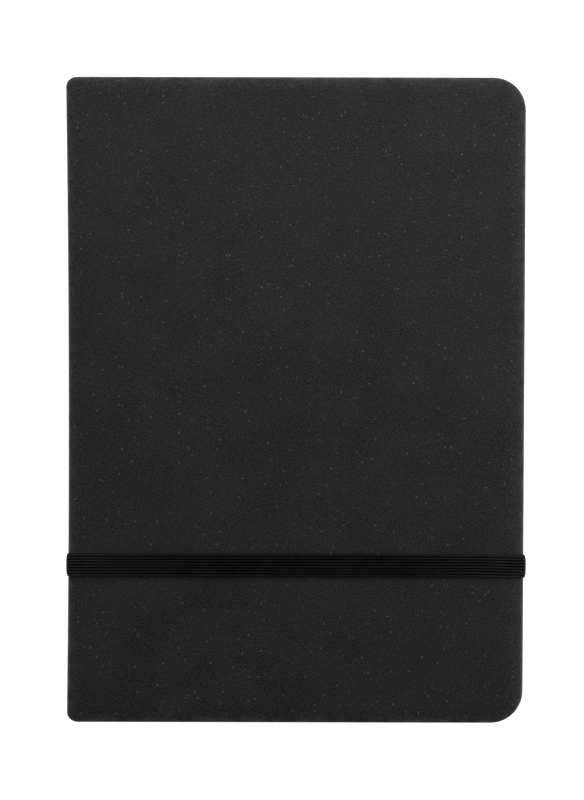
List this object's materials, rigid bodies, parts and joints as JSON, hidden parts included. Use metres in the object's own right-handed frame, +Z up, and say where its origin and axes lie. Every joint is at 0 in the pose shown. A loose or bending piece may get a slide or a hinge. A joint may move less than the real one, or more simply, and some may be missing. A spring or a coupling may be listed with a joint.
{
  "type": "sketchbook",
  "caption": "Hardcover sketchbook in black leatherette with rounded fore-edge corners, sewn drawing paper and a ribbed elastic closure.",
  "frame": {"origin": "bottom centre of the closed book, under the elastic's back runs", "axes": "+X to the fore-edge, +Y to the head, +Z up through the front cover; the spine faces -X"},
  "size_m": [0.1536, 0.215, 0.022],
  "materials": {
    "leatherette": "matt black, finely pebbled",
    "greyboard": "dense grey bookbinding board",
    "endpaper": "smooth ivory paper",
    "drawing_paper": "fine-toothed off-white drawing paper",
    "woven_elastic": "black ribbed knitted elastic",
    "linen_thread": "waxed linen thread",
    "bookbinding_gauze": "open-weave cotton gauze with glue",
    "band_silk": "black sewn head band"
  },
  "bodies": {
    "text_block": {"spine_inlay": "greyboard", "cover_spine": "leatherette", "cover_joint_front": "leatherette", "cover_joint_back": "leatherette", "sewing_thread": "linen_thread", "spine_gauze": "bookbinding_gauze", "head_band": "band_silk", "tail_band": "band_silk", "signature_1": "drawing_paper", "signature_2": "drawing_paper", "signature_3": "drawing_paper", "signature_4": "drawing_paper", "signature_5": "drawing_paper", "signature_6": "drawing_paper", "signature_7": "drawing_paper", "signature_8": "drawing_paper"},
    "front_cover": {"front_board": "greyboard", "cover_front": "leatherette", "front_pastedown": "endpaper"},
    "back_cover": {"back_board": "greyboard", "cover_back": "leatherette", "back_pastedown": "endpaper", "elastic_anchor_spine": "woven_elastic", "elastic_anchor_fore": "woven_elastic"},
    "elastic_strap": {"elastic_front_run": "woven_elastic", "elastic_wrap_spine": "woven_elastic", "elastic_wrap_fore": "woven_elastic"},
    "front_flyleaf": {"front_flyleaf": "endpaper"},
    "back_flyleaf": {"back_flyleaf": "endpaper"},
    "leaf_1": {"leaf_1": "drawing_paper"},
    "leaf_2": {"leaf_2": "drawing_paper"},
    "leaf_3": {"leaf_3": "drawing_paper"},
    "leaf_4": {"leaf_4": "drawing_paper"},
    "leaf_5": {"leaf_5": "drawing_paper"}
  },
  "joints": [
    {"name": "front_cover_hinge", "type": "hinge", "parent": "text_block", "child": "front_cover", "pos_m": [-0.0738, 0, 0.01762], "axis": [0, -1, 0], "range_deg": [0, 178], "deforming": ["cover_joint_front"]},
    {"name": "back_cover_hinge", "type": "hinge", "parent": "text_block", "child": "back_cover", "pos_m": [-0.0738, 0, 0.00435], "axis": [0, 1, 0], "range_deg": [0, 178], "deforming": ["cover_joint_back"]},
    {"name": "elastic_release", "type": "slide", "parent": "text_block", "child": "elastic_strap", "axis": [0, 0, -1], "range_m": [0, 0.02117], "deforming": ["elastic_wrap_spine", "elastic_wrap_fore", "elastic_front_run"]},
    {"name": "front_flyleaf_turn", "type": "hinge", "parent": "text_block", "child": "front_flyleaf", "pos_m": [-0.0738, 0, 0.01762], "axis": [0, -1, 0], "range_deg": [0, 178]},
    {"name": "leaf_1_turn", "type": "hinge", "parent": "text_block", "child": "leaf_1", "pos_m": [-0.0738, 0, 0.01762], "axis": [0, -1, 0], "range_deg": [0, 178]},
    {"name": "leaf_2_turn", "type": "hinge", "parent": "text_block", "child": "leaf_2", "pos_m": [-0.0738, 0, 0.01762], "axis": [0, -1, 0], "range_deg": [0, 178]},
    {"name": "leaf_3_turn", "type": "hinge", "parent": "text_block", "child": "leaf_3", "pos_m": [-0.0738, 0, 0.01762], "axis": [0, -1, 0], "range_deg": [0, 178]},
    {"name": "leaf_4_turn", "type": "hinge", "parent": "text_block", "child": "leaf_4", "pos_m": [-0.0738, 0, 0.01762], "axis": [0, -1, 0], "range_deg": [0, 178]},
    {"name": "leaf_5_turn", "type": "hinge", "parent": "text_block", "child": "leaf_5", "pos_m": [-0.0738, 0, 0.01762], "axis": [0, -1, 0], "range_deg": [0, 178]},
    {"name": "back_flyleaf_turn", "type": "hinge", "parent": "text_block", "child": "back_flyleaf", "pos_m": [-0.0738, 0, 0.00435], "axis": [0, 1, 0], "range_deg": [0, 178]}
  ],
  "couplings": [
    {"joint": "elastic_release", "follows": "front_cover_hinge", "m_per_rad": 0.006813},
    {"joint": "front_flyleaf_turn", "follows": "front_cover_hinge", "ratio": 0.985},
    {"joint": "leaf_1_turn", "follows": "front_cover_hinge", "ratio": 0.972},
    {"joint": "leaf_2_turn", "follows": "front_cover_hinge", "ratio": 0.957},
    {"joint": "leaf_3_turn", "follows": "front_cover_hinge", "ratio": 0.94},
    {"joint": "leaf_4_turn", "follows": "front_cover_hinge", "ratio": 0.92},
    {"joint": "leaf_5_turn", "follows": "front_cover_hinge", "ratio": 0.895},
    {"joint": "back_flyleaf_turn", "follows": "back_cover_hinge", "ratio": 0.985}
  ]
}
